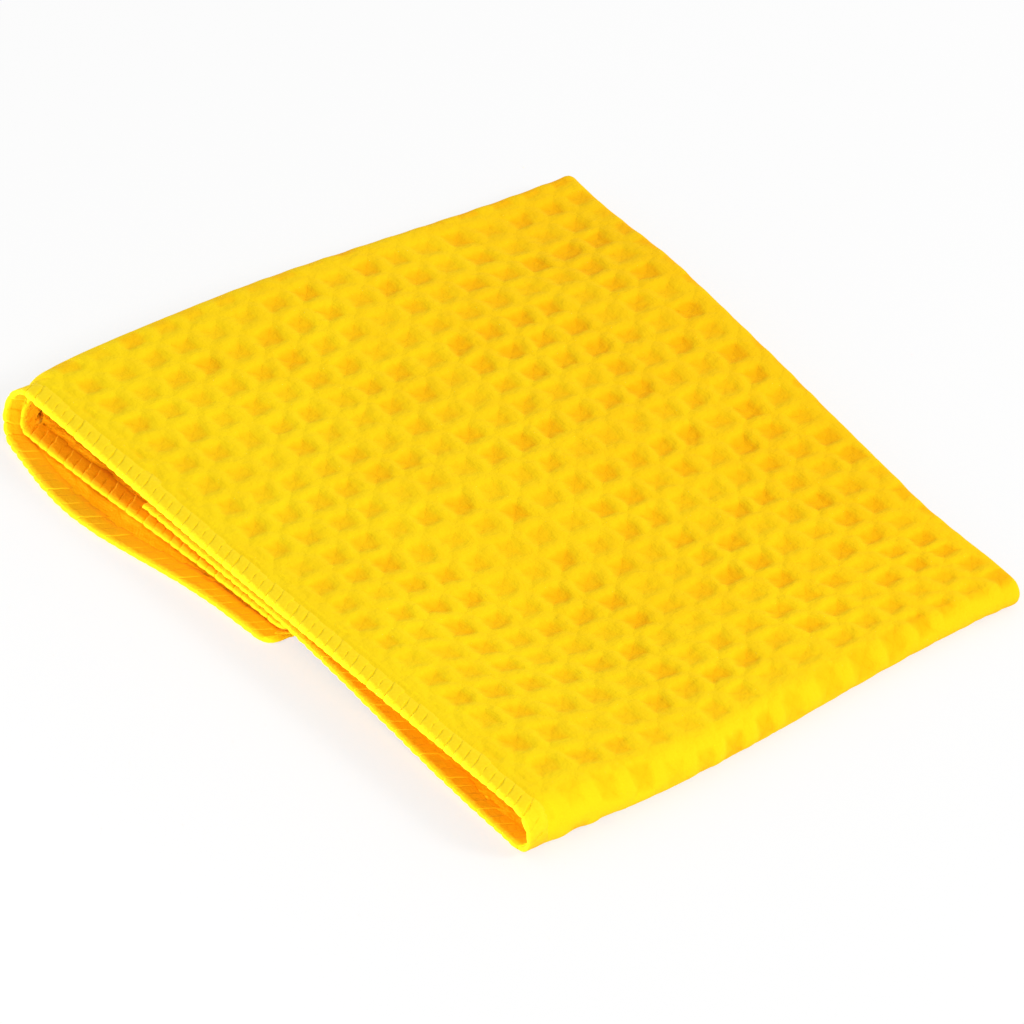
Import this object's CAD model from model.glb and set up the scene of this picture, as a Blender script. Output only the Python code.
"""Microfibre drying towel, folded for the shelf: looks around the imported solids. Metres, +Z up."""
import math

import bpy
import numpy as np
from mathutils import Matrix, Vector


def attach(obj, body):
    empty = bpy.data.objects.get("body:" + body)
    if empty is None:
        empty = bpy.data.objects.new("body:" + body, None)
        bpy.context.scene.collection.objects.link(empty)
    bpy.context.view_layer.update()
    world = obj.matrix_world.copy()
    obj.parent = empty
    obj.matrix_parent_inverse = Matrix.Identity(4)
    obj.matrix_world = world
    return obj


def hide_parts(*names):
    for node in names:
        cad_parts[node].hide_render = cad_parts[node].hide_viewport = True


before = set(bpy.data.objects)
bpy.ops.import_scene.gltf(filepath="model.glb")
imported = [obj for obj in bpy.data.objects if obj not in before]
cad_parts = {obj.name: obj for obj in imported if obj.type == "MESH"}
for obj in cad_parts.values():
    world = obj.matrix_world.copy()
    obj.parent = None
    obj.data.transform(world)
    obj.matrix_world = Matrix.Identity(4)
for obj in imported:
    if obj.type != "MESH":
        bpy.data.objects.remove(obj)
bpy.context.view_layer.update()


# The waffle cloth
# One rectangle of waffle-weave microfibre, doubled along its middle and then folded in three.
# Its long floats stand up as a net of square ridges round small pits, and the overlock stitching
# presses its four cut edges flat.

# Sizes of the cloth and its fold in millimetres, as in the solids. X runs from the open fold, Y from
# the hems and Z up from the ground. The centre of the outline is taken off when the sheet is made.
CLOTH = 2.0                 # over its ridges
HEM_BAND = 8.6              # from the cut edge to where the cloth has its full thickness
LAYER_AIR = 0.5             # between the two layers of a ply
PLY_AIR = 0.7               # least air between one ply and the next
LENGTH = 263.0              # open fold to tight fold, along the front
OPEN_FOLD_X = -3.5          # outside of the open fold, at the front
OPEN_FOLD_BULGE = 4.0       # it swells outwards between front and back
OPEN_FOLD_RISE = 0.42       # and most of the swelling is near the front
OPEN_FOLD_BACK = -0.6       # its back corner lies this much from its front one
TIGHT_FOLD_SKEW = 14.0      # the towel is shorter along the back by this much
TIGHT_FOLD_STRAIGHT = 0.15  # the tight fold is straight for this share of its run
BACK_Y = 209.0              # the long fold, at the open fold
BACK_SKEW = 24.0            # and how much nearer it comes at the tight fold
CORNER_FLARE = 6.0          # the corner of these two folds flares out by this much
CORNER_FLARE_FROM = 195.0   # from here on
SHORT_LEAF_END = 133.0      # cut end of the leaf on the ground
TUCKED_LEAF_END = 60.0      # cut end of the tucked leaf
FOLD_TURN = 8.0             # length taken up by the turn of a fold
FRONT_TOP_OPEN = 18.7       # height of the front edge at the open fold
FRONT_TOP = 16.8            # and from its middle to the tight fold
OPEN_TOP_BACK = 10.0        # the open fold is flatter at its back corner
TIGHT_TOP_BACK = 9.8        # and so is the tight fold
CREST_TOP = 16.4            # over three plies
CREST_TOP_BACK = 15.0
DIP_TOP = 10.4              # over two plies
DIP_TOP_BACK = 13.6
CREST_FROM = 67.0
DIP_FROM, DIP_TO = 110.0, 182.0
TIGHT_FROM, TIGHT_TO = 186.0, 248.0
FRONT_RUN = 0.34            # share of the depth that the straight front edge pulls level
FRONT_STEP_FROM, FRONT_STEP_TO = 128.0, 238.0
STEP_FROM, STEP_TO = 134.0, 178.0
GROUND_EDGE_FRONT = 1.0     # the ground leaf's outer hem lies in front of the top leaf's
GROUND_EDGE_OUT = 10.1      # and sticks out by this much more at one place
GROUND_EDGE_AT = 44.0
GROUND_EDGE_SPREAD = 44.0
TUCKED_EDGE_BACK = 0.6      # the tucked leaf's hem runs back from the tight fold
TUCKED_EDGE_SLANT = 4.4
INNER_LAYER_BACK = 7.5      # the inner layer's hem stops this far behind the outer one's
GROUND_INNER_OUT, GROUND_INNER_BACK = 0.5, 5.0
CENTRE = np.array([127.5, 98.75, 0.0])

# Two sizes that aren't the solids': the inner hem of the tucked leaf, which the photo hides, lies
# this much farther in, and the sewn corner of the ground leaf is rounded off.
TUCKED_INNER_IN = 2.2
CORNER_ROUND = 4.5

LAYER_OFFSET = (CLOTH + LAYER_AIR) / 2
PLY = 2 * CLOTH + LAYER_AIR


def mix(a, b, f):
    return a + (b - a) * f


def smooth(v):
    c = np.clip(v, 0.0, 1.0)
    return c * c * (3 - 2 * c)


def open_fold_x(back):
    bulge = OPEN_FOLD_BULGE * np.sin(np.pi * back ** OPEN_FOLD_RISE)
    return OPEN_FOLD_X - bulge + OPEN_FOLD_BACK * back


def tight_fold_x(back):
    return LENGTH - TIGHT_FOLD_SKEW * smooth((back - TIGHT_FOLD_STRAIGHT) / (1 - TIGHT_FOLD_STRAIGHT))


def long_fold_y(x):
    end = LENGTH - TIGHT_FOLD_SKEW
    flare = CORNER_FLARE * smooth((x - CORNER_FLARE_FROM) / (end - CORNER_FLARE_FROM))
    return BACK_Y - BACK_SKEW * np.clip(x / end, 0, 1) + flare


def tucked_height(x, back):
    """Middle of the tucked ply: on the ground leaf, then down to the ground."""
    front_step = smooth((x - FRONT_STEP_FROM) / (FRONT_STEP_TO - FRONT_STEP_FROM))
    step = smooth((x - STEP_FROM) / (STEP_TO - STEP_FROM))
    return mix(1.5 * PLY + PLY_AIR, 0.5 * PLY, mix(front_step, step, smooth(back / FRONT_RUN)))


def top_height(x, back):
    """Middle of the top ply: straight along its front edge, with a crest and a dip behind it."""
    front = mix(FRONT_TOP_OPEN, FRONT_TOP, smooth(2 * x / LENGTH))
    to_back = smooth(back)
    open_fold = mix(FRONT_TOP_OPEN, OPEN_TOP_BACK, smooth((back - FRONT_RUN) / (1 - FRONT_RUN)))
    crest = mix(CREST_TOP, CREST_TOP_BACK, to_back)
    dip = mix(DIP_TOP, DIP_TOP_BACK, to_back)
    tight_fold = mix(FRONT_TOP, TIGHT_TOP_BACK, back)
    over_crest = mix(open_fold, crest, smooth((x - FOLD_TURN) / (CREST_FROM - FOLD_TURN)))
    into_dip = mix(over_crest, dip, smooth((x - DIP_FROM) / (DIP_TO - DIP_FROM)))
    behind = mix(into_dip, tight_fold, smooth((x - TIGHT_FROM) / (TIGHT_TO - TIGHT_FROM)))
    return mix(front, behind, smooth(back / FRONT_RUN)) - PLY / 2


def ply_at(leaf, t, back):
    """Middle of the ply on a leaf, as x, z and the normal out of the bundle."""
    low = PLY / 2
    open_r = (top_height(0.0, back) - low) / 2
    open_x = open_fold_x(back) + PLY / 2 + open_r
    tight_r = (top_height(LENGTH, back) - low) / 2
    tight_x = tight_fold_x(back) - PLY / 2 - tight_r
    level = np.zeros_like(back)
    if leaf == "ground":
        return mix(SHORT_LEAF_END, open_x, t), low + level, level, level - 1
    if leaf == "open":
        nx, nz = level - math.sin(math.pi * t), level - math.cos(math.pi * t)
        return open_x + open_r * nx, low + open_r + open_r * nz, nx, nz
    if leaf == "top":
        x = mix(open_x, tight_x, t)
        return x, top_height(x, back), level, level + 1
    if leaf == "tight":
        nx, nz = level + math.sin(math.pi * t), level + math.cos(math.pi * t)
        return tight_x + tight_r * nx, low + tight_r + tight_r * nz, nx, nz
    x = mix(tight_x, TUCKED_LEAF_END, t)
    return x, tucked_height(x, back), level, level - 1


def front_edge(leaf, t, outer):
    """Where the side hem of the outer or inner layer lies."""
    x = ply_at(leaf, t, np.zeros(1))[0][0]
    sticks_out = GROUND_EDGE_OUT * math.exp(-((x - GROUND_EDGE_AT) / GROUND_EDGE_SPREAD) ** 2)
    ground = -GROUND_EDGE_FRONT - sticks_out
    tucked = TUCKED_EDGE_BACK + TUCKED_EDGE_SLANT * min(1.0, max(0.0, (LENGTH - x) / SHORT_LEAF_END))
    top = 0.0
    if not outer:
        ground = mix(-GROUND_INNER_OUT, GROUND_INNER_BACK, float(smooth(x / SHORT_LEAF_END)))
        top = INNER_LAYER_BACK
        tucked = INNER_LAYER_BACK + TUCKED_INNER_IN
    if leaf == "open":
        return mix(ground, top, float(smooth(t)))
    if leaf == "tight":
        return mix(top, tucked, float(smooth(t)))
    return {"ground": ground, "top": top, "tucked": tucked}[leaf]


# The grid that the cloth is drawn on: (leaf, rows on it), from the cut end on the ground to the
# tucked one. The top leaf has the most rows, because it shows.
LEAF_ROWS = [("ground", 40), ("open", 28), ("top", 248), ("tight", 20), ("tucked", 36)]
CUT_END_CROWDING = 1.5      # rows lie closer together towards a cut end
HEM_COLUMNS = [0.0, 1.2, 2.6, 4.2, 6.0, 7.4]
OUTER_COLUMNS = 200
FOLD_COLUMNS = 6
INNER_COARSE, INNER_FINE = 12, 17
INNER_FINE_DEPTH = 0.3      # the part of the inner layer that the open fold shows has fine columns
BACK_STEP = 4               # the hidden face between the layers has one row and column in four


def places_on(leaf, rows):
    """Where the rows are on a leaf, from 0 to 1."""
    even = np.arange(rows) / rows
    crowded = {"ground": even ** CUT_END_CROWDING, "tucked": 1 - (1 - even) ** CUT_END_CROWDING}
    return crowded.get(leaf, even)


stations = [(leaf, float(t)) for leaf, rows in LEAF_ROWS for t in places_on(leaf, rows)]
stations.append(("tucked", 1.0))
inner_backs = np.concatenate([
    np.linspace(1, INNER_FINE_DEPTH, INNER_COARSE, endpoint=False),
    np.linspace(INNER_FINE_DEPTH, 0, INNER_FINE + 1),
])
# Each column is (side, inset, back). Side is 1 on the outer layer and -1 on the inner one, and it
# goes from one to the other round the long fold. Inset is millimetres from the cut edge within the
# hem band, and back is the share of the way from there to the long fold.
columns = [(1.0, inset, 0.0) for inset in HEM_COLUMNS]
columns += [(1.0, None, back) for back in np.linspace(0, 1, OUTER_COLUMNS + 1)]
turns = [math.pi * (k + 1) / (FOLD_COLUMNS + 1) for k in range(FOLD_COLUMNS)]
columns += [(math.cos(turn), None, 1.0) for turn in turns]
columns += [(-1.0, None, back) for back in inner_backs]
columns += [(-1.0, inset, 0.0) for inset in reversed(HEM_COLUMNS)]
side = np.array([c[0] for c in columns])
inset = np.array([HEM_BAND if c[1] is None else c[1] for c in columns])
in_hem = np.array([c[1] is not None for c in columns])
back_of = np.array([c[2] for c in columns])
round_fold = np.sqrt(np.clip(1 - side ** 2, 0, 1))
outer_half = np.arange(len(columns)) < len(HEM_COLUMNS) + OUTER_COLUMNS + 1 + FOLD_COLUMNS // 2

middle = np.zeros((len(stations), len(columns), 3))         # middle of the cloth
ply_middle = np.zeros((len(stations), len(columns), 2))     # middle of the ply, x and z
for r, (leaf, t) in enumerate(stations):
    x, z, nx, nz = ply_at(leaf, t, back_of)
    edge = np.where(outer_half, front_edge(leaf, t, True), front_edge(leaf, t, False))
    if leaf == "ground":
        short_by = max(0.0, CORNER_ROUND - t * (SHORT_LEAF_END - OPEN_FOLD_X)) / CORNER_ROUND
        edge = edge + CORNER_ROUND * (1 - math.sqrt(1 - short_by ** 2)) * (back_of < 1)
    fold = long_fold_y(x) - LAYER_OFFSET - CLOTH / 2
    across = np.where(in_hem, edge + inset, mix(edge + HEM_BAND, fold, back_of))
    middle[r, :, 0] = x + nx * LAYER_OFFSET * side
    middle[r, :, 1] = across + LAYER_OFFSET * round_fold
    middle[r, :, 2] = z + nz * LAYER_OFFSET * side
    ply_middle[r] = np.stack([x, z], -1)
middle -= CENTRE

# Outward normal from the neighbouring points. Rows run out of the ground leaf and columns
# from the outer hem to the inner one, so this product points out of the bundle.
outward = np.cross(np.gradient(middle, axis=0), np.gradient(middle, axis=1))
outward /= np.linalg.norm(outward, axis=2, keepdims=True)

# The weave's own coordinates in millimetres: along the ply from the crest of the top leaf, so that
# the rows run on from one layer to the other, and across it from the outer hem.
CREST_X = 90.0
along = np.zeros(middle.shape[:2])
along[1:] = np.cumsum(np.linalg.norm(np.diff(ply_middle, axis=0), axis=2), axis=0)
top_rows = np.array([r for r, (leaf, t) in enumerate(stations) if leaf == "top"])
for c in range(len(columns)):
    at_crest = np.interp(CREST_X, ply_middle[top_rows, c, 0], along[top_rows, c])
    along[:, c] -= at_crest
# The cloth is stretched over the folds, and its pits are shallower there.
FOLD_TAUT = 14.0            # how far from a cross fold it is taut
TAUT_FADE = 10.0            # and the length over which it slackens again
LEAF_DEPTH = 195.0          # about, from the hems to the long fold
TIGHT_FOLD_RELIEF = 0.4
LEAST_RELIEF = 0.15
FRONT_RELIEF, BACK_RELIEF = 0.9, 1.1
relief = np.ones(middle.shape[:2])
off_long_fold = smooth((1 - back_of) * LEAF_DEPTH / TAUT_FADE)
for r, (leaf, t) in enumerate(stations):
    x = ply_middle[r, :, 0]
    off_open_fold = smooth((x - OPEN_FOLD_X) / FOLD_TAUT)
    off_tight_fold = smooth((LENGTH - FOLD_TAUT - x) / TAUT_FADE)
    off_fold = {
        "ground": off_open_fold,
        "open": 0.0,
        "top": np.minimum(off_open_fold, off_tight_fold + TIGHT_FOLD_RELIEF),
        "tight": TIGHT_FOLD_RELIEF,
        "tucked": off_tight_fold,
    }[leaf]
    most = mix(FRONT_RELIEF, BACK_RELIEF, back_of)
    relief[r] = mix(LEAST_RELIEF, most, np.minimum(off_fold, off_long_fold))
from_start = along - along[:1]
from_end = along[-1:] - along

depth = np.zeros(middle.shape[:2])
depth[:, 1:] = np.cumsum(np.linalg.norm(np.diff(middle, axis=1), axis=2), axis=1)
last_outer = int(np.nonzero(outer_half)[0][-1])
CELL_LENGTH = 12.3
CELL_WIDTH = 11.6
CELLS_ACROSS = 34           # in the width of the sheet, from one side hem to the other
WIDTH = CELLS_ACROSS * CELL_WIDTH
weave_col = depth.copy()
inner_depth = depth[:, last_outer:last_outer + 1]
spread = (WIDTH - inner_depth) / (depth[:, -1:] - inner_depth)
weave_col[:, last_outer:] = inner_depth + (depth[:, last_outer:] - inner_depth) * spread
from_hem = np.minimum(depth, depth[:, -1:] - depth)


def hump(v, centre, spread):
    """1 at the centre, dying away on both sides of it."""
    return np.exp(-((v - centre) / spread) ** 2)


# The cloth isn't laid dead square: its rows bow towards the tight fold and lead a little along the
# front hem, and its columns draw together behind the middle. Each term is a shift in millimetres
# over a part of the top leaf, set by hand against the rows and columns in the photo.
x, y = middle[..., 0], middle[..., 1]
row_shift = 3.7 * hump(x, 30, 60) - 1.4 * x / 100 - 1.1 * y / 100
row_shift += smooth((x - 70) / 60) * (4.7 * hump(y, -30, 30) - 10.2 * y / 100)
row_shift -= smooth((x + 10) / 60) * 6.4 * hump(y, -85, 22)
row_shift += smooth((20 - x) / 50) * (1.6 * hump(y, -62, 28) - 2.5 * hump(y, 38, 26))
row_shift += 2.8 * hump(x, 72, 45) * hump(y, -8, 42)
row_shift -= 4 * smooth((x - 80) / 25) * smooth((y - 30) / 40)
col_shift = -0.4 - 5.5 * smooth((y + 10) / 100) * hump(x, 20, 50)
col_shift += 8 * smooth((x - 85) / 35) * smooth((y + 10) / 50)
col_shift += 1.8 * smooth((-20 - x) / 50) + 1.3 * smooth((x - 75) / 35)
along -= row_shift
weave_col -= col_shift
from_edge = np.minimum(np.minimum(from_hem, from_start), from_end)


def faces_of_sheet(rows, cols, step):
    """Both faces of the sheet and the cut edge between them. The hidden face has one row and
    column in each step. Returns vertex keys (row, column, side) and faces."""
    fine = {}
    coarse = {}
    keys = []
    for r in range(rows):
        for c in range(cols):
            fine[r, c] = len(keys)
            keys.append((r, c, 1))
    for r in range(0, rows, step):
        for c in range(0, cols, step):
            coarse[r, c] = len(keys)
            keys.append((r, c, -1))
    faces = []
    for r in range(rows - 1):
        for c in range(cols - 1):
            faces.append((fine[r, c], fine[r + 1, c], fine[r + 1, c + 1], fine[r, c + 1]))
    for r in range(0, rows - 1, step):
        for c in range(0, cols - 1, step):
            far_r, far_c = r + step, c + step
            faces.append((coarse[r, c], coarse[r, far_c], coarse[far_r, far_c], coarse[far_r, c]))
    rim = [(r, 0) for r in range(rows - 1)] + [(rows - 1, c) for c in range(cols - 1)]
    rim += [(r, cols - 1) for r in range(rows - 1, 0, -1)] + [(0, c) for c in range(cols - 1, 0, -1)]
    for k in range(0, len(rim), step):
        run = [rim[(k + j) % len(rim)] for j in range(step + 1)]
        for j in range(step):
            near = run[0] if j < step // 2 else run[-1]
            faces.append((fine[run[j + 1]], fine[run[j]], coarse[near]))
        faces.append((coarse[run[-1]], fine[run[step // 2]], coarse[run[0]]))
    return np.array(keys), faces


def mesh_object(name, points, faces):
    """A mesh object at the origin, with its place in its mesh. Points are in metres."""
    mesh = bpy.data.meshes.new(name)
    mesh.from_pydata([tuple(p) for p in points], [], faces)
    mesh.polygons.foreach_set("use_smooth", [True] * len(mesh.polygons))
    mesh.update()
    piece = bpy.data.objects.new(name, mesh)
    bpy.context.scene.collection.objects.link(piece)
    return piece


def set_attribute(piece, name, kind, values):
    """Stores one value for each vertex."""
    attribute = piece.data.attributes.new(name, kind, "POINT")
    field = "vector" if kind == "FLOAT_VECTOR" else "value"
    attribute.data.foreach_set(field, np.asarray(values, np.float32).ravel())


# How far the top leaf covers a side hem: not at all on the top leaf itself, and wholly on the two
# leaves below it. The change comes over half of each fold's turn.
COVER_RUN = 0.5
OPEN_COVER_TO, TIGHT_COVER_FROM = 0.8, 0.3
covered = {
    "ground": lambda t: 1.0,
    "open": lambda t: smooth((OPEN_COVER_TO - t) / COVER_RUN),
    "top": lambda t: 0.0,
    "tight": lambda t: smooth((t - TIGHT_COVER_FROM) / COVER_RUN),
    "tucked": lambda t: 1.0,
}
under_top = np.array([float(covered[leaf](t)) for leaf, t in stations])

keys, sheet_faces = faces_of_sheet(*middle.shape[:2], BACK_STEP)
at = (keys[:, 0], keys[:, 1])
towel_cloth = mesh_object("towel_cloth_weave", middle[at] / 1000, sheet_faces)
set_attribute(towel_cloth, "weave_row", "FLOAT", along[at])
set_attribute(towel_cloth, "weave_col", "FLOAT", weave_col[at])
set_attribute(towel_cloth, "from_edge", "FLOAT", from_edge[at])
set_attribute(towel_cloth, "face", "FLOAT", keys[:, 2])
set_attribute(towel_cloth, "outward", "FLOAT_VECTOR", outward[at])
set_attribute(towel_cloth, "relief", "FLOAT", relief[at])
# The inner layer is sheltered from just past the long fold on, and so is the hidden face of either
# layer where it lies under the top leaf.
LONG_FOLD_SHARE = 1 / 8       # of the layer's depth, over which the shelter grows
HIDDEN_SHELTER = 0.7
inner_shelter = smooth((depth / inner_depth - 1) / LONG_FOLD_SHARE)[at]
hidden_shelter = HIDDEN_SHELTER * under_top[keys[:, 0]] * (keys[:, 2] < 0)
set_attribute(towel_cloth, "shelter", "FLOAT", np.maximum(inner_shelter, hidden_shelter))
set_attribute(towel_cloth, "back", "FLOAT", np.broadcast_to(back_of, middle.shape[:2])[at])


def add(tree, kind, inputs=None, **settings):
    """Adds a node with its settings. Each input takes a value, a socket or a node's first output."""
    node = tree.nodes.new(kind)
    for name, value in settings.items():
        setattr(node, name, value)
    for key, value in (inputs or {}).items():
        if isinstance(value, bpy.types.Node):
            value = value.outputs[0]
        if isinstance(value, bpy.types.NodeSocket):
            tree.links.new(value, node.inputs[key])
        else:
            node.inputs[key].default_value = value
    return node


def node_tree(name, sockets):
    """A Geometry Nodes tree that takes a geometry and the named inputs."""
    tree = bpy.data.node_groups.new(name, "GeometryNodeTree")
    tree.interface.new_socket(name="Geometry", in_out="INPUT", socket_type="NodeSocketGeometry")
    for socket_name, socket_type in sockets:
        tree.interface.new_socket(name=socket_name, in_out="INPUT", socket_type=socket_type)
    tree.interface.new_socket(name="Geometry", in_out="OUTPUT", socket_type="NodeSocketGeometry")
    return tree


def grow(piece, tree, values):
    """Runs the tree on the piece with these values, and keeps the result as a plain mesh."""
    modifier = piece.modifiers.new(tree.name, "NODES")
    modifier.node_group = tree
    for item in tree.interface.items_tree:
        if item.in_out == "INPUT" and item.name in values:
            modifier[item.identifier] = values[item.name]
    graph = bpy.context.evaluated_depsgraph_get()
    mesh = bpy.data.meshes.new_from_object(piece.evaluated_get(graph), depsgraph=graph)
    piece.modifiers.remove(modifier)
    old = piece.data
    piece.data = mesh
    bpy.data.meshes.remove(old)
    mesh.name = piece.name
    return piece


def linear(hex_colour):
    """An sRGB hex colour as linear RGBA."""
    channels = [int(hex_colour[k:k + 2], 16) / 255 for k in (1, 3, 5)]
    return tuple(c / 12.92 if c <= 0.04045 else ((c + 0.055) / 1.055) ** 2.4 for c in channels) + (1.0,)


# Split microfibre, woven from very fine dyed filaments of polyester and polyamide: matt, with a soft
# pile that catches light at grazing angles, and deeper in colour down in the pits. Its floats lie
# side by side along each ridge and down the walls beside it.
RIDGE_YELLOW = "#FDDB10"
PIT_YELLOW = "#FDBA03"
SHELTER_ORANGE = "#FFB808"
SHEEN_YELLOW = "#FFD84A"
DEPTH_TINT = 0.8            # how far the colour deepens in the pits
TINT_FROM, TINT_TO = 0.35, 1.2      # depths of a pit between which it does
BACK_TINT = 0.45            # how far it deepens towards the long fold
PATCH_TINT = 0.2            # and in chance patches
NOISE_LOW, NOISE_HIGH = 0.3, 0.7    # most of a noise's values lie between these
NOISE_MIDDLE = (0.5, 0.5, 0.5)
PATCHES = 45.0              # to the metre, for patches about 20 mm across
LUMPS = 320.0               # to the metre, for lumps about 3 mm across
PILE = 1400.0               # to the metre: coarser than the real pile, so that it shows
FLOATS_IN_CELL = 11         # about 1 mm apart: coarser than the real floats, so that they show
# Heights in millimetres
CREASE_DEPTH = 0.35
FLOAT_HEIGHT = 0.009
LUMP_HEIGHT = 0.55
PILE_HEIGHT = 0.08
# Distances from the middle of a cell, in cells: where the wall of a pit starts, and where it ends
# in the mesh and in the creases that the material draws
PIT_RIM, PIT_BED, CREASE_BED = 0.5, 0.12, 0.2
BUNDLE_SHARE = 0.34         # share of the relief that is the shape of the float bundles
HALF_CELL = 0.5
JUST_OVER_HALF = 0.505      # keeps the share of a bundle's length finite in the middle of a cell


def waffle_hollow(tree, u, v, pit_bed):
    """Adds the nodes that give how far the weave sinks at u, v, counted in cells: 0 on top, 1 at the
    bottom of a pit. Each side of a cell is a leaf-shaped bundle of floats, highest in its middle and
    bound down at its ends, and a round wall leads from it to the bed of the pit."""
    u_part = add(tree, "ShaderNodeMath", {0: u, 1: HALF_CELL}, operation="PINGPONG")
    v_part = add(tree, "ShaderNodeMath", {0: v, 1: HALF_CELL}, operation="PINGPONG")
    near = add(tree, "ShaderNodeMath", {0: u_part, 1: v_part}, operation="MINIMUM")
    far = add(tree, "ShaderNodeMath", {0: u_part, 1: v_part}, operation="MAXIMUM")
    in_cell = add(tree, "ShaderNodeCombineXYZ", {0: u_part, 1: v_part})
    centre = (HALF_CELL, HALF_CELL, 0.0)
    off_centre = add(tree, "ShaderNodeVectorMath", {0: in_cell, 1: centre}, operation="DISTANCE")
    pit = add(tree, "ShaderNodeMapRange",
              {0: off_centre.outputs["Value"], 1: PIT_RIM, 2: pit_bed, 3: 0.0, 4: 1.0},
              interpolation_type="SMOOTHSTEP")
    from_middle = add(tree, "ShaderNodeMath", {0: HALF_CELL, 1: far}, operation="SUBTRACT")
    half_length = add(tree, "ShaderNodeMath", {0: JUST_OVER_HALF, 1: near}, operation="SUBTRACT")
    on_leaf = add(tree, "ShaderNodeMath", {0: from_middle, 1: half_length}, operation="DIVIDE")
    dip = add(tree, "ShaderNodeMath", {0: on_leaf, 1: 2.0}, operation="POWER")
    bow = add(tree, "ShaderNodeMath", {0: 1.0, 1: dip}, operation="SUBTRACT")
    off_ridge = add(tree, "ShaderNodeMath", {0: near, 1: near}, operation="MULTIPLY")
    # 1 on the ridge and 0 half a cell away from it
    round_top = add(tree, "ShaderNodeMath", {0: off_ridge, 1: -4.0, 2: 1.0}, operation="MULTIPLY_ADD")
    bundle = add(tree, "ShaderNodeMath", {0: round_top, 1: bow}, operation="MULTIPLY")
    sunk = add(tree, "ShaderNodeMath", {0: bundle, 1: -1.0, 2: 1.0}, operation="MULTIPLY_ADD")
    return add(tree, "ShaderNodeMix", {"Factor": BUNDLE_SHARE, 2: pit, 3: sunk})


microfibre = bpy.data.materials.new("waffle microfibre")
microfibre.use_nodes = True
tree = microfibre.node_tree
tree.nodes.clear()
cell_u = add(tree, "ShaderNodeAttribute", attribute_name="cell_u").outputs["Fac"]
cell_v = add(tree, "ShaderNodeAttribute", attribute_name="cell_v").outputs["Fac"]
deep = add(tree, "ShaderNodeAttribute", attribute_name="pit_scale").outputs["Fac"]
creases = waffle_hollow(tree, cell_u, cell_v, CREASE_BED)
pit = add(tree, "ShaderNodeMath", {0: creases, 1: deep}, operation="MULTIPLY")
depth_tint = add(tree, "ShaderNodeMapRange",
                 {0: pit, 1: TINT_FROM, 2: TINT_TO, 3: 0.0, 4: DEPTH_TINT})
here = add(tree, "ShaderNodeTexCoord").outputs["Object"]
patchy = add(tree, "ShaderNodeTexNoise", {"Vector": here, "Scale": PATCHES, "Detail": 2.0})
patch_tint = add(tree, "ShaderNodeMapRange",
                 {0: patchy.outputs[0], 1: NOISE_LOW, 2: NOISE_HIGH, 3: 0.0, 4: PATCH_TINT})
back = add(tree, "ShaderNodeAttribute", attribute_name="back").outputs["Fac"]
back_tint = add(tree, "ShaderNodeMath", {0: back, 1: BACK_TINT, 2: patch_tint}, operation="MULTIPLY_ADD")
tint = add(tree, "ShaderNodeMath", {0: depth_tint, 1: back_tint}, operation="ADD", use_clamp=True)
colour = add(tree, "ShaderNodeMix", {"Factor": tint, 6: linear(RIDGE_YELLOW), 7: linear(PIT_YELLOW)},
             data_type="RGBA")
# light that reaches the layers inside has been through the cloth, and turns them orange
shelter = add(tree, "ShaderNodeAttribute", attribute_name="shelter").outputs["Fac"]
colour = add(tree, "ShaderNodeMix", {"Factor": shelter, 6: colour.outputs[2], 7: linear(SHELTER_ORANGE)},
             data_type="RGBA")
# the creases of the pits, the floats beside the nearest ridge, small lumps and the pile
u_float = add(tree, "ShaderNodeMath", {0: cell_u, 1: 2 * math.pi * FLOATS_IN_CELL}, operation="MULTIPLY")
v_float = add(tree, "ShaderNodeMath", {0: cell_v, 1: 2 * math.pi * FLOATS_IN_CELL}, operation="MULTIPLY")
u_wave = add(tree, "ShaderNodeMath", {0: u_float}, operation="SINE")
v_wave = add(tree, "ShaderNodeMath", {0: v_float}, operation="SINE")
u_part = add(tree, "ShaderNodeMath", {0: cell_u, 1: HALF_CELL}, operation="PINGPONG")
v_part = add(tree, "ShaderNodeMath", {0: cell_v, 1: HALF_CELL}, operation="PINGPONG")
beside_u = add(tree, "ShaderNodeMath", {0: u_part, 1: v_part}, operation="LESS_THAN")
floats = add(tree, "ShaderNodeMix", {"Factor": beside_u, 2: v_wave, 3: u_wave})
lumps = add(tree, "ShaderNodeTexNoise", {"Vector": here, "Scale": LUMPS, "Detail": 2.0})
pile = add(tree, "ShaderNodeTexNoise", {"Vector": here, "Scale": PILE, "Detail": 3.0})
creased = add(tree, "ShaderNodeMath", {0: pit, 1: -CREASE_DEPTH}, operation="MULTIPLY")
threaded = add(tree, "ShaderNodeMath", {0: floats, 1: FLOAT_HEIGHT, 2: creased}, operation="MULTIPLY_ADD")
lumpy = add(tree, "ShaderNodeMath", {0: lumps.outputs[0], 1: LUMP_HEIGHT, 2: threaded},
            operation="MULTIPLY_ADD")
height = add(tree, "ShaderNodeMath", {0: pile.outputs[0], 1: PILE_HEIGHT, 2: lumpy},
             operation="MULTIPLY_ADD")
surface = add(tree, "ShaderNodeBump", {"Height": height, "Strength": 1.0, "Distance": 0.001})
skin = add(tree, "ShaderNodeBsdfPrincipled", {
    "Base Color": colour.outputs[2], "Normal": surface, "Roughness": 0.92,
    "Specular IOR Level": 0.1, "Sheen Weight": 0.05, "Sheen Roughness": 0.5,
    "Sheen Tint": linear(SHEEN_YELLOW)})
add(tree, "ShaderNodeOutputMaterial", {"Surface": skin})

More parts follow.
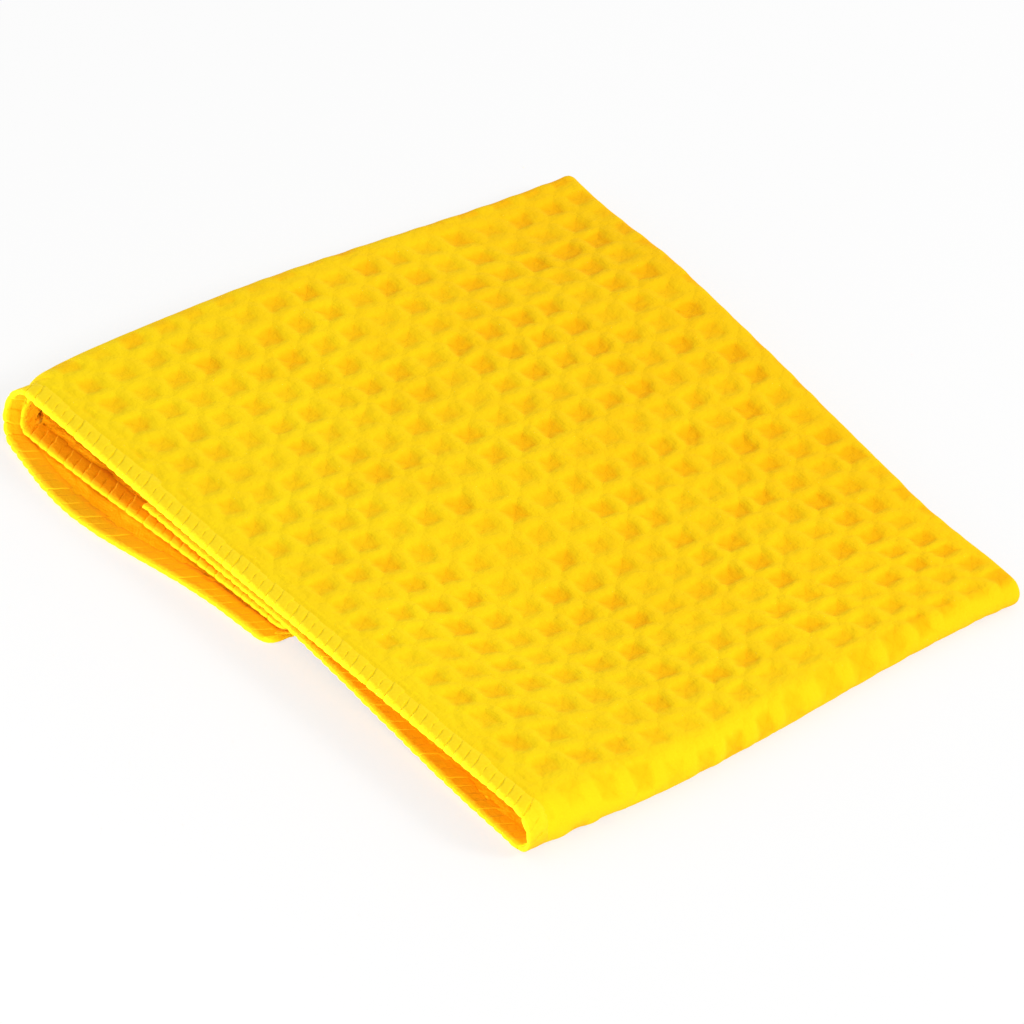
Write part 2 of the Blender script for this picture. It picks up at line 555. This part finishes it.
# Tree that raises the waffle: the net of ridges with a pit in each cell, flat along the hems.
PIT_DEPTH = 1.45
PIT_LEAST, PIT_MOST = 0.6, 1.15     # each pit has a share of that depth between these
HEM_WIDTH = 9.0             # from the cut edge to the hem's line
HEM_CATCH = 4.0             # the cells beside a hem are caught under it by up to this much
PRESSED_CLOTH = 1.0         # thickness of the cloth under the stitching
SWELL_FROM, SWELL_TO = -2.6, -0.6   # from the hem's line: here it swells to its full thickness
WANDER = 7.0                # how far a cell may stray, about
WANDER_SCALE = 0.07         # to the millimetre: it strays together with its neighbours
WAFFLE_SEED = 4.0
waffle = node_tree("Waffle relief", [
    ("Cell length", "NodeSocketFloat"), ("Cell width", "NodeSocketFloat"),
    ("Pit depth", "NodeSocketFloat"), ("Cloth", "NodeSocketFloat"), ("Hem cloth", "NodeSocketFloat"),
    ("Hem width", "NodeSocketFloat"), ("Unevenness", "NodeSocketFloat"), ("Seed", "NodeSocketFloat"),
    ("Material", "NodeSocketMaterial")])
given = add(waffle, "NodeGroupInput")
row = add(waffle, "GeometryNodeInputNamedAttribute", {"Name": "weave_row"}, data_type="FLOAT")
col = add(waffle, "GeometryNodeInputNamedAttribute", {"Name": "weave_col"}, data_type="FLOAT")
edge_gap = add(waffle, "GeometryNodeInputNamedAttribute", {"Name": "from_edge"}, data_type="FLOAT")
face = add(waffle, "GeometryNodeInputNamedAttribute", {"Name": "face"}, data_type="FLOAT")
out = add(waffle, "GeometryNodeInputNamedAttribute", {"Name": "outward"}, data_type="FLOAT_VECTOR")
place = add(waffle, "ShaderNodeCombineXYZ", {0: row, 1: col})
# no cell lies quite square, and no two pits are quite alike
drift = add(waffle, "ShaderNodeTexNoise",
            {"Vector": place, "Scale": WANDER_SCALE, "Detail": 3.0, "Roughness": 0.8,
             "W": given.outputs["Seed"]}, noise_dimensions="4D")
drift_half = add(waffle, "ShaderNodeVectorMath", {0: drift.outputs["Color"], 1: NOISE_MIDDLE},
                 operation="SUBTRACT")
drift_by = add(waffle, "ShaderNodeVectorMath", {0: drift_half, "Scale": given.outputs["Unevenness"]},
               operation="SCALE")
wandered = add(waffle, "ShaderNodeVectorMath", {0: place, 1: drift_by}, operation="ADD")
split = add(waffle, "ShaderNodeSeparateXYZ", {0: wandered})
# the reverse of the cloth has its pits under the ridge crossings of the face
reverse = add(waffle, "ShaderNodeMapRange", {0: face, 1: -1.0, 2: 1.0, 3: HALF_CELL, 4: 0.0})
u_cells = add(waffle, "ShaderNodeMath", {0: split.outputs[0], 1: given.outputs["Cell length"]},
              operation="DIVIDE")
v_cells = add(waffle, "ShaderNodeMath", {0: split.outputs[1], 1: given.outputs["Cell width"]},
              operation="DIVIDE")
u = add(waffle, "ShaderNodeMath", {0: u_cells, 1: reverse}, operation="ADD")
v = add(waffle, "ShaderNodeMath", {0: v_cells, 1: reverse}, operation="ADD")
u_cell = add(waffle, "ShaderNodeMath", {0: u}, operation="FLOOR")
v_cell = add(waffle, "ShaderNodeMath", {0: v}, operation="FLOOR")
cell = add(waffle, "ShaderNodeCombineXYZ", {0: u_cell, 1: v_cell})
chance = add(waffle, "ShaderNodeTexWhiteNoise", {"Vector": cell, "W": given.outputs["Seed"]},
             noise_dimensions="4D")
hollow = waffle_hollow(waffle, u, v, PIT_BED)
vary = add(waffle, "ShaderNodeMapRange", {0: chance.outputs["Value"], 3: PIT_LEAST, 4: PIT_MOST})
beyond_hem = add(waffle, "ShaderNodeMath", {0: edge_gap, 1: given.outputs["Hem width"]},
                 operation="SUBTRACT")
caught = add(waffle, "ShaderNodeMath", {0: chance.outputs["Value"], 1: -HEM_CATCH, 2: beyond_hem},
             operation="MULTIPLY_ADD")
full = add(waffle, "ShaderNodeMapRange", {0: caught, 1: -HEM_CATCH, 2: 0.0, 3: 0.0, 4: 1.0},
           interpolation_type="SMOOTHSTEP")
taut = add(waffle, "GeometryNodeInputNamedAttribute", {"Name": "relief"}, data_type="FLOAT")
uneven = add(waffle, "ShaderNodeMath", {0: full, 1: vary}, operation="MULTIPLY")
eased = add(waffle, "ShaderNodeMath", {0: uneven, 1: taut}, operation="MULTIPLY")
pit_part = add(waffle, "ShaderNodeMath", {0: hollow, 1: eased}, operation="MULTIPLY")
sink = add(waffle, "ShaderNodeMath", {0: pit_part, 1: given.outputs["Pit depth"]},
           operation="MULTIPLY")
swollen = add(waffle, "ShaderNodeMapRange", {0: beyond_hem, 1: SWELL_FROM, 2: SWELL_TO, 3: 0.0, 4: 1.0},
              interpolation_type="SMOOTHSTEP")
thick = add(waffle, "ShaderNodeMix",
            {"Factor": swollen, 2: given.outputs["Hem cloth"], 3: given.outputs["Cloth"]})
half = add(waffle, "ShaderNodeMath", {0: thick, 1: 0.5}, operation="MULTIPLY")
lift = add(waffle, "ShaderNodeMath", {0: half, 1: sink}, operation="SUBTRACT")
signed = add(waffle, "ShaderNodeMath", {0: lift, 1: face}, operation="MULTIPLY")
metres = add(waffle, "ShaderNodeMath", {0: signed, 1: 0.001}, operation="MULTIPLY")
move = add(waffle, "ShaderNodeVectorMath", {0: out, "Scale": metres}, operation="SCALE")
raised = add(waffle, "GeometryNodeSetPosition",
             {"Geometry": given.outputs["Geometry"], "Offset": move})
# the material draws the creases of the same pits from these
marked = raised
for name, value in (("cell_u", u_cells), ("cell_v", v_cells), ("pit_scale", uneven)):
    marked = add(waffle, "GeometryNodeStoreNamedAttribute",
                 {"Geometry": marked, "Name": name, "Value": value}, data_type="FLOAT", domain="POINT")
real = add(waffle, "GeometryNodeRealizeInstances", {"Geometry": marked})
clad = add(waffle, "GeometryNodeSetMaterial", {"Geometry": real, "Material": given.outputs["Material"]})
add(waffle, "NodeGroupOutput", {"Geometry": clad})

grow(towel_cloth, waffle, {
    "Cell length": CELL_LENGTH, "Cell width": CELL_WIDTH, "Pit depth": PIT_DEPTH,
    "Cloth": CLOTH, "Hem cloth": PRESSED_CLOTH, "Hem width": HEM_WIDTH, "Unevenness": WANDER,
    "Seed": WAFFLE_SEED, "Material": microfibre})
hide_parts("towel_cloth")
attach(towel_cloth, "root")


# The overlocked edges
# Each of the four cut edges is wrapped in three-thread overlock of bulked polyester. The looper
# threads cross the edge on a slant and spread into soft pads, which give it its scalloped outline.

# Millimetres
STITCH_PITCH = 4.3
STITCH_REACH = 7.4          # from the cut edge to the needle line
STITCH_SLANT = -4.2         # the loopers move this far along the edge on their way to it
PAD_BULK = 0.24             # thickness of a pad on the face
PAD_SINK = 0.15             # the rim of a pad is pressed this far into the cloth
SEAM_MARGIN = 4.5           # from the end of an edge to its first pad
PAD_SIZE_VARIATION = 0.08
FUZZ = 900.0                # to the metre: coarser than the real filaments, so that it shows
THREAD_SHADE = "#FDD80F"
THREAD_YELLOW = "#FFDF18"
THREAD_SHEEN = "#FFE680"

# Bulked polyester sewing thread, dyed with the cloth: a little brighter than the weave, with the
# fine twist of its filaments.
overlock_thread = bpy.data.materials.new("bulked polyester thread")
overlock_thread.use_nodes = True
tree = overlock_thread.node_tree
tree.nodes.clear()
here = add(tree, "ShaderNodeTexCoord").outputs["Object"]
fuzz = add(tree, "ShaderNodeTexNoise", {"Vector": here, "Scale": FUZZ, "Detail": 3.0})
shade = add(tree, "ShaderNodeMapRange",
            {0: fuzz.outputs[0], 1: NOISE_LOW, 2: NOISE_HIGH, 3: 0.0, 4: 1.0})
colour = add(tree, "ShaderNodeMix", {"Factor": shade, 6: linear(THREAD_SHADE), 7: linear(THREAD_YELLOW)},
             data_type="RGBA")
shelter = add(tree, "ShaderNodeAttribute", attribute_name="shelter").outputs["Fac"]
colour = add(tree, "ShaderNodeMix", {"Factor": shelter, 6: colour.outputs[2], 7: linear(SHELTER_ORANGE)},
             data_type="RGBA")
fuzz_bump = add(tree, "ShaderNodeBump", {"Height": fuzz.outputs[0], "Strength": 0.4, "Distance": 0.0004})
yarn = add(tree, "ShaderNodeBsdfPrincipled", {
    "Base Color": colour.outputs[2], "Normal": fuzz_bump, "Roughness": 0.85,
    "Specular IOR Level": 0.12, "Sheen Weight": 0.1, "Sheen Tint": linear(THREAD_SHEEN)})
add(tree, "ShaderNodeOutputMaterial", {"Surface": yarn})


# Stations of a pad on the face, from the needle line to the edge: share of the reach, width in
# pitches, and thickness in bulks. Where it is narrower than a pitch, a slit is left beside it.
PAD_FACE = [(1.0, 1.25, 0.0), (0.7, 1.2, 0.8), (0.52, 0.92, 1.0), (0.38, 0.95, 1.0), (0.24, 1.12, 0.95)]
SHOULDER_X, SHOULDER_BULK = 0.2, 1.5
NOSE_X, NOSE_BULK = -0.1, 3.1
EDGE_WIDTH = 1.04
UNDER_WIDTH = 1.28          # wider on the underside, where the pads overlap
UNDER_FLATNESS = 0.9
# Across a pad: place in widths, height where it lies flat, and height where it arches over the edge
PAD_SECTION = [(-0.5, 0.0, 0.0), (-0.46, 0.8, 0.35), (-0.32, 0.96, 0.75), (0.0, 1.0, 1.0),
               (0.32, 0.96, 0.75), (0.46, 0.8, 0.35), (0.5, 0.0, 0.0)]


def stitch_pad():
    """One looper pad as a closed body, in millimetres: x into the cloth, y along the edge, z out of
    its face. It runs from the needle line to the edge, round it, and back underneath."""
    skin = PRESSED_CLOTH / 2
    # each station is x, y, z, the direction out of the cloth in x and z, width, bulk and flatness
    path = [(STITCH_REACH * reach, STITCH_SLANT * (1 - reach), skin, 0.0, 1.0, wide, bulk, 0.0)
            for reach, wide, bulk in PAD_FACE]
    path.append((SHOULDER_X, STITCH_SLANT, skin, -0.5, 0.87, EDGE_WIDTH, SHOULDER_BULK, 0.0))
    path.append((NOSE_X, STITCH_SLANT, 0.0, -1.0, 0.0, EDGE_WIDTH, NOSE_BULK, 0.0))
    path += [(x, y, -z, ox, -oz, wide if ox else UNDER_WIDTH, bulk, UNDER_FLATNESS)
             for x, y, z, ox, oz, wide, bulk, _ in path[-2::-1]]
    points = []
    for x, y, z, ox, oz, wide, bulk, flat in path:
        for across, level, arch in PAD_SECTION:
            up = mix(level, arch, abs(ox))
            up = mix(up, 1.0, flat) if up else 0.0
            rise = up * PAD_BULK * bulk - PAD_SINK * (up == 0)
            points.append((x + ox * rise, y + across * wide * STITCH_PITCH, z + oz * rise))
    n = len(PAD_SECTION)
    faces = []
    for k in range(len(path) - 1):
        for j in range(n):
            a, b = k * n + j, k * n + (j + 1) % n
            faces.append((a, b, b + n, a + n))
    faces.append(tuple(range(n - 1, -1, -1)))
    faces.append(tuple(range(len(points) - n, len(points))))
    return points, faces


pad_points, pad_faces = stitch_pad()
pad = mesh_object("looper_pad", np.array(pad_points) / 1000, pad_faces)

# Tree that sews an edge: a straight row of pads is laid out first, and each point of it is then
# carried to the edge, so that the pads bend with the cloth round the folds.
stitching = node_tree("Overlock stitches", [
    ("Stitch", "NodeSocketObject"), ("Pitch", "NodeSocketFloat"), ("Margin", "NodeSocketFloat"),
    ("Size variation", "NodeSocketFloat"), ("Seed", "NodeSocketInt"), ("Material", "NodeSocketMaterial")])
given = add(stitching, "NodeGroupInput")
edge = add(stitching, "GeometryNodeMeshToCurve", {"Mesh": given.outputs["Geometry"]})
run = add(stitching, "GeometryNodeCurveLength", {"Curve": edge})
sewn_run = add(stitching, "ShaderNodeMath", {0: given.outputs["Margin"], 1: -2.0, 2: run},
               operation="MULTIPLY_ADD")
spaces = add(stitching, "ShaderNodeMath", {0: sewn_run, 1: given.outputs["Pitch"]}, operation="DIVIDE")
whole = add(stitching, "ShaderNodeMath", {0: spaces}, operation="FLOOR")
count = add(stitching, "ShaderNodeMath", {0: whole, 1: 1.0}, operation="ADD")
even_pitch = add(stitching, "ShaderNodeMath", {0: sewn_run, 1: whole}, operation="DIVIDE")
start = add(stitching, "ShaderNodeCombineXYZ", {1: given.outputs["Margin"]})
step = add(stitching, "ShaderNodeCombineXYZ", {1: even_pitch})
line = add(stitching, "GeometryNodeMeshLine", {"Count": count, "Start Location": start, "Offset": step})
one = add(stitching, "GeometryNodeObjectInfo", {"Object": given.outputs["Stitch"]})
least = add(stitching, "ShaderNodeMath", {0: 1.0, 1: given.outputs["Size variation"]}, operation="SUBTRACT")
most = add(stitching, "ShaderNodeMath", {0: 1.0, 1: given.outputs["Size variation"]}, operation="ADD")
size = add(stitching, "FunctionNodeRandomValue", {2: least, 3: most, "Seed": given.outputs["Seed"]},
           data_type="FLOAT")
row_of_pads = add(stitching, "GeometryNodeInstanceOnPoints", {
    "Points": line, "Instance": one.outputs["Geometry"], "Scale": size.outputs[1]})
real = add(stitching, "GeometryNodeRealizeInstances", {"Geometry": row_of_pads})
flat = add(stitching, "ShaderNodeSeparateXYZ", {0: add(stitching, "GeometryNodeInputPosition")})
into = add(stitching, "GeometryNodeInputNamedAttribute", {"Name": "into"}, data_type="FLOAT_VECTOR")
up = add(stitching, "GeometryNodeInputNamedAttribute", {"Name": "up"}, data_type="FLOAT_VECTOR")
down_edge = flat.outputs[1]
on_curve = {"mode": "LENGTH", "use_all_curves": True}
at_into = add(stitching, "GeometryNodeSampleCurve", {"Curves": edge, "Value": into, "Length": down_edge},
              data_type="FLOAT_VECTOR", **on_curve)
at_up = add(stitching, "GeometryNodeSampleCurve", {"Curves": edge, "Value": up, "Length": down_edge},
            data_type="FLOAT_VECTOR", **on_curve)
shelter = add(stitching, "GeometryNodeInputNamedAttribute", {"Name": "shelter"}, data_type="FLOAT")
at_shelter = add(stitching, "GeometryNodeSampleCurve",
                 {"Curves": edge, "Value": shelter, "Length": down_edge}, data_type="FLOAT", **on_curve)
inward = add(stitching, "ShaderNodeVectorMath", {0: at_into.outputs["Value"], "Scale": flat.outputs[0]},
             operation="SCALE")
raised = add(stitching, "ShaderNodeVectorMath", {0: at_up.outputs["Value"], "Scale": flat.outputs[2]},
             operation="SCALE")
on_edge = add(stitching, "ShaderNodeVectorMath", {0: at_into.outputs["Position"], 1: inward}, operation="ADD")
carried = add(stitching, "ShaderNodeVectorMath", {0: on_edge, 1: raised}, operation="ADD")
marked = add(stitching, "GeometryNodeStoreNamedAttribute",
             {"Geometry": real, "Name": "shelter", "Value": at_shelter.outputs["Value"]},
             data_type="FLOAT", domain="POINT")
bent = add(stitching, "GeometryNodeSetPosition", {"Geometry": marked, "Position": carried})
clad = add(stitching, "GeometryNodeSetMaterial", {"Geometry": bent, "Material": given.outputs["Material"]})
add(stitching, "NodeGroupOutput", {"Geometry": clad})


def sew(name, node, points, into, up, shelter, seed):
    """Sews one edge: points of the cut edge in millimetres, with the direction into the cloth, the
    direction out of its face, and how far each point is sheltered by the layers over it."""
    along_edge = np.gradient(points, axis=0)
    if np.sum(np.cross(into, along_edge) * up) < 0:
        points, into, up, shelter = points[::-1], into[::-1], up[::-1], shelter[::-1]
    seam = mesh_object(name, points / 1000, [])
    seam.data.edges.add(len(points) - 1)
    seam.data.edges.foreach_set("vertices", [v for k in range(len(points) - 1) for v in (k, k + 1)])
    set_attribute(seam, "into", "FLOAT_VECTOR", into)
    set_attribute(seam, "up", "FLOAT_VECTOR", up)
    set_attribute(seam, "shelter", "FLOAT", shelter)
    grow(seam, stitching, {
        "Stitch": pad, "Pitch": STITCH_PITCH / 1000, "Margin": SEAM_MARGIN / 1000,
        "Size variation": PAD_SIZE_VARIATION, "Seed": seed, "Material": overlock_thread})
    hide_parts(node)
    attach(seam, "root")
    return seam


def edge_frames(line, next_line, out):
    """The points of an edge, the direction from each into the cloth, and the way out of its face."""
    into = next_line - line
    return line, into / np.linalg.norm(into, axis=1, keepdims=True), out


# The direction into the cloth is taken this many rows or columns in. The end seams stop as far
# short of the side edges.
STEPS_IN = 3
between = slice(STEPS_IN, -STEPS_IN)
# How far each seam is sheltered by the layers over it
OUTER_SIDE_SHELTER = 0.75
INNER_SIDE_SHELTER = 0.9
END_SHELTER = 0.8
inside = np.full(len(columns) - 2 * STEPS_IN, END_SHELTER)

seams = [
    sew("outer_side_stitches", "outer_side_overlock",
        *edge_frames(middle[:, 0], middle[:, STEPS_IN], outward[:, 0]),
        OUTER_SIDE_SHELTER * under_top, 1),
    sew("inner_side_stitches", "inner_side_overlock",
        *edge_frames(middle[:, -1], middle[:, -1 - STEPS_IN], outward[:, -1]),
        mix(INNER_SIDE_SHELTER, 1.0, under_top), 2),
    sew("ground_end_stitches", "ground_end_overlock",
        *edge_frames(middle[0, between], middle[STEPS_IN, between], outward[0, between]),
        inside, 3),
    sew("tucked_end_stitches", "tucked_end_overlock",
        *edge_frames(middle[-1, between], middle[-1 - STEPS_IN, between], outward[-1, between]),
        inside, 4),
]
bpy.data.objects.remove(pad)


# The studio
# A plain white floor that keeps the towel's soft shadow, one soft light from the right, a low strip
# in front of the hems, an even white world that fills the shadows, and a long lens far off.

FLOOR_REACH = 3.0
FLOOR_WHITE = 0.93
FLOOR_GLOW = 0.7            # share of the floor's look that is plain white to the camera
WORLD_LIGHT = 0.77
corners = [(-FLOOR_REACH, -FLOOR_REACH, 0), (FLOOR_REACH, -FLOOR_REACH, 0),
           (FLOOR_REACH, FLOOR_REACH, 0), (-FLOOR_REACH, FLOOR_REACH, 0)]
floor = mesh_object("floor", corners, [(0, 1, 2, 3)])
white_paint = bpy.data.materials.new("white studio floor")
white_paint.use_nodes = True
tree = white_paint.node_tree
tree.nodes.clear()
seen = add(tree, "ShaderNodeLightPath")
matt = add(tree, "ShaderNodeBsdfDiffuse", {"Color": (FLOOR_WHITE, FLOOR_WHITE, FLOOR_WHITE, 1.0)})
glow = add(tree, "ShaderNodeEmission", {"Color": (1.0, 1.0, 1.0, 1.0), "Strength": 1.0})
mostly = add(tree, "ShaderNodeMath", {0: seen.outputs["Is Camera Ray"], 1: FLOOR_GLOW},
             operation="MULTIPLY")
blend = add(tree, "ShaderNodeMixShader", {0: mostly, 1: matt, 2: glow})
add(tree, "ShaderNodeOutputMaterial", {"Surface": blend})
floor.data.materials.append(white_paint)

world = bpy.data.worlds.new("studio")
bpy.context.scene.world = world
world.use_nodes = True
tree = world.node_tree
tree.nodes.clear()
seen = add(tree, "ShaderNodeLightPath")
direct = add(tree, "ShaderNodeMath", {0: seen.outputs["Is Camera Ray"], 1: seen.outputs["Is Glossy Ray"]},
             operation="MAXIMUM")
shown = add(tree, "ShaderNodeMath", {0: direct, 1: seen.outputs["Is Transmission Ray"]},
            operation="MAXIMUM")
level = add(tree, "ShaderNodeMapRange", {0: shown, 3: WORLD_LIGHT, 4: 1.0})
sky = add(tree, "ShaderNodeBackground", {"Color": (1.0, 1.0, 1.0, 1.0), "Strength": level})
add(tree, "ShaderNodeOutputWorld", {"Surface": sky})


def soft_light(name, direction, distance, size, power):
    """An area light, width by height in metres, that looks back along the direction at the towel."""
    lamp = bpy.data.lights.new(name, "AREA")
    lamp.shape = "RECTANGLE"
    lamp.size, lamp.size_y = size
    lamp.energy = power
    holder = bpy.data.objects.new(name, lamp)
    holder.location = Vector(direction).normalized() * distance
    holder.rotation_euler = Vector(direction).to_track_quat("Z", "Y").to_euler()
    bpy.context.scene.collection.objects.link(holder)


soft_light("key", (0.70, 0.45, 0.55), 2.4, (0.6, 0.6), 25.5)
# a strip that stands lower than the top leaf and lights only the folded front
soft_light("front strip", (-0.05, -1.0, 0.02), 0.45, (0.5, 0.014), 2.9)

AZIMUTH, ELEVATION = math.radians(53.94), math.radians(36.22)
DISTANCE = 4.0
FOCAL_LENGTH, SENSOR = 470.2, 36.0      # millimetres
AIM = Vector((-0.00068, -0.00612, 0.00575))
level_view = Vector((-math.sin(AZIMUTH), math.cos(AZIMUTH), 0.0))
view = level_view * math.cos(ELEVATION) - Vector((0.0, 0.0, math.sin(ELEVATION)))
lens = bpy.data.cameras.new("camera")
lens.sensor_width = SENSOR
lens.lens = FOCAL_LENGTH
lens.clip_end = 20.0
camera = bpy.data.objects.new("camera", lens)
camera.location = AIM - view * DISTANCE
camera.rotation_euler = view.to_track_quat("-Z", "Y").to_euler()
bpy.context.scene.collection.objects.link(camera)
bpy.context.scene.camera = camera
bpy.context.scene.view_settings.view_transform = "Standard"
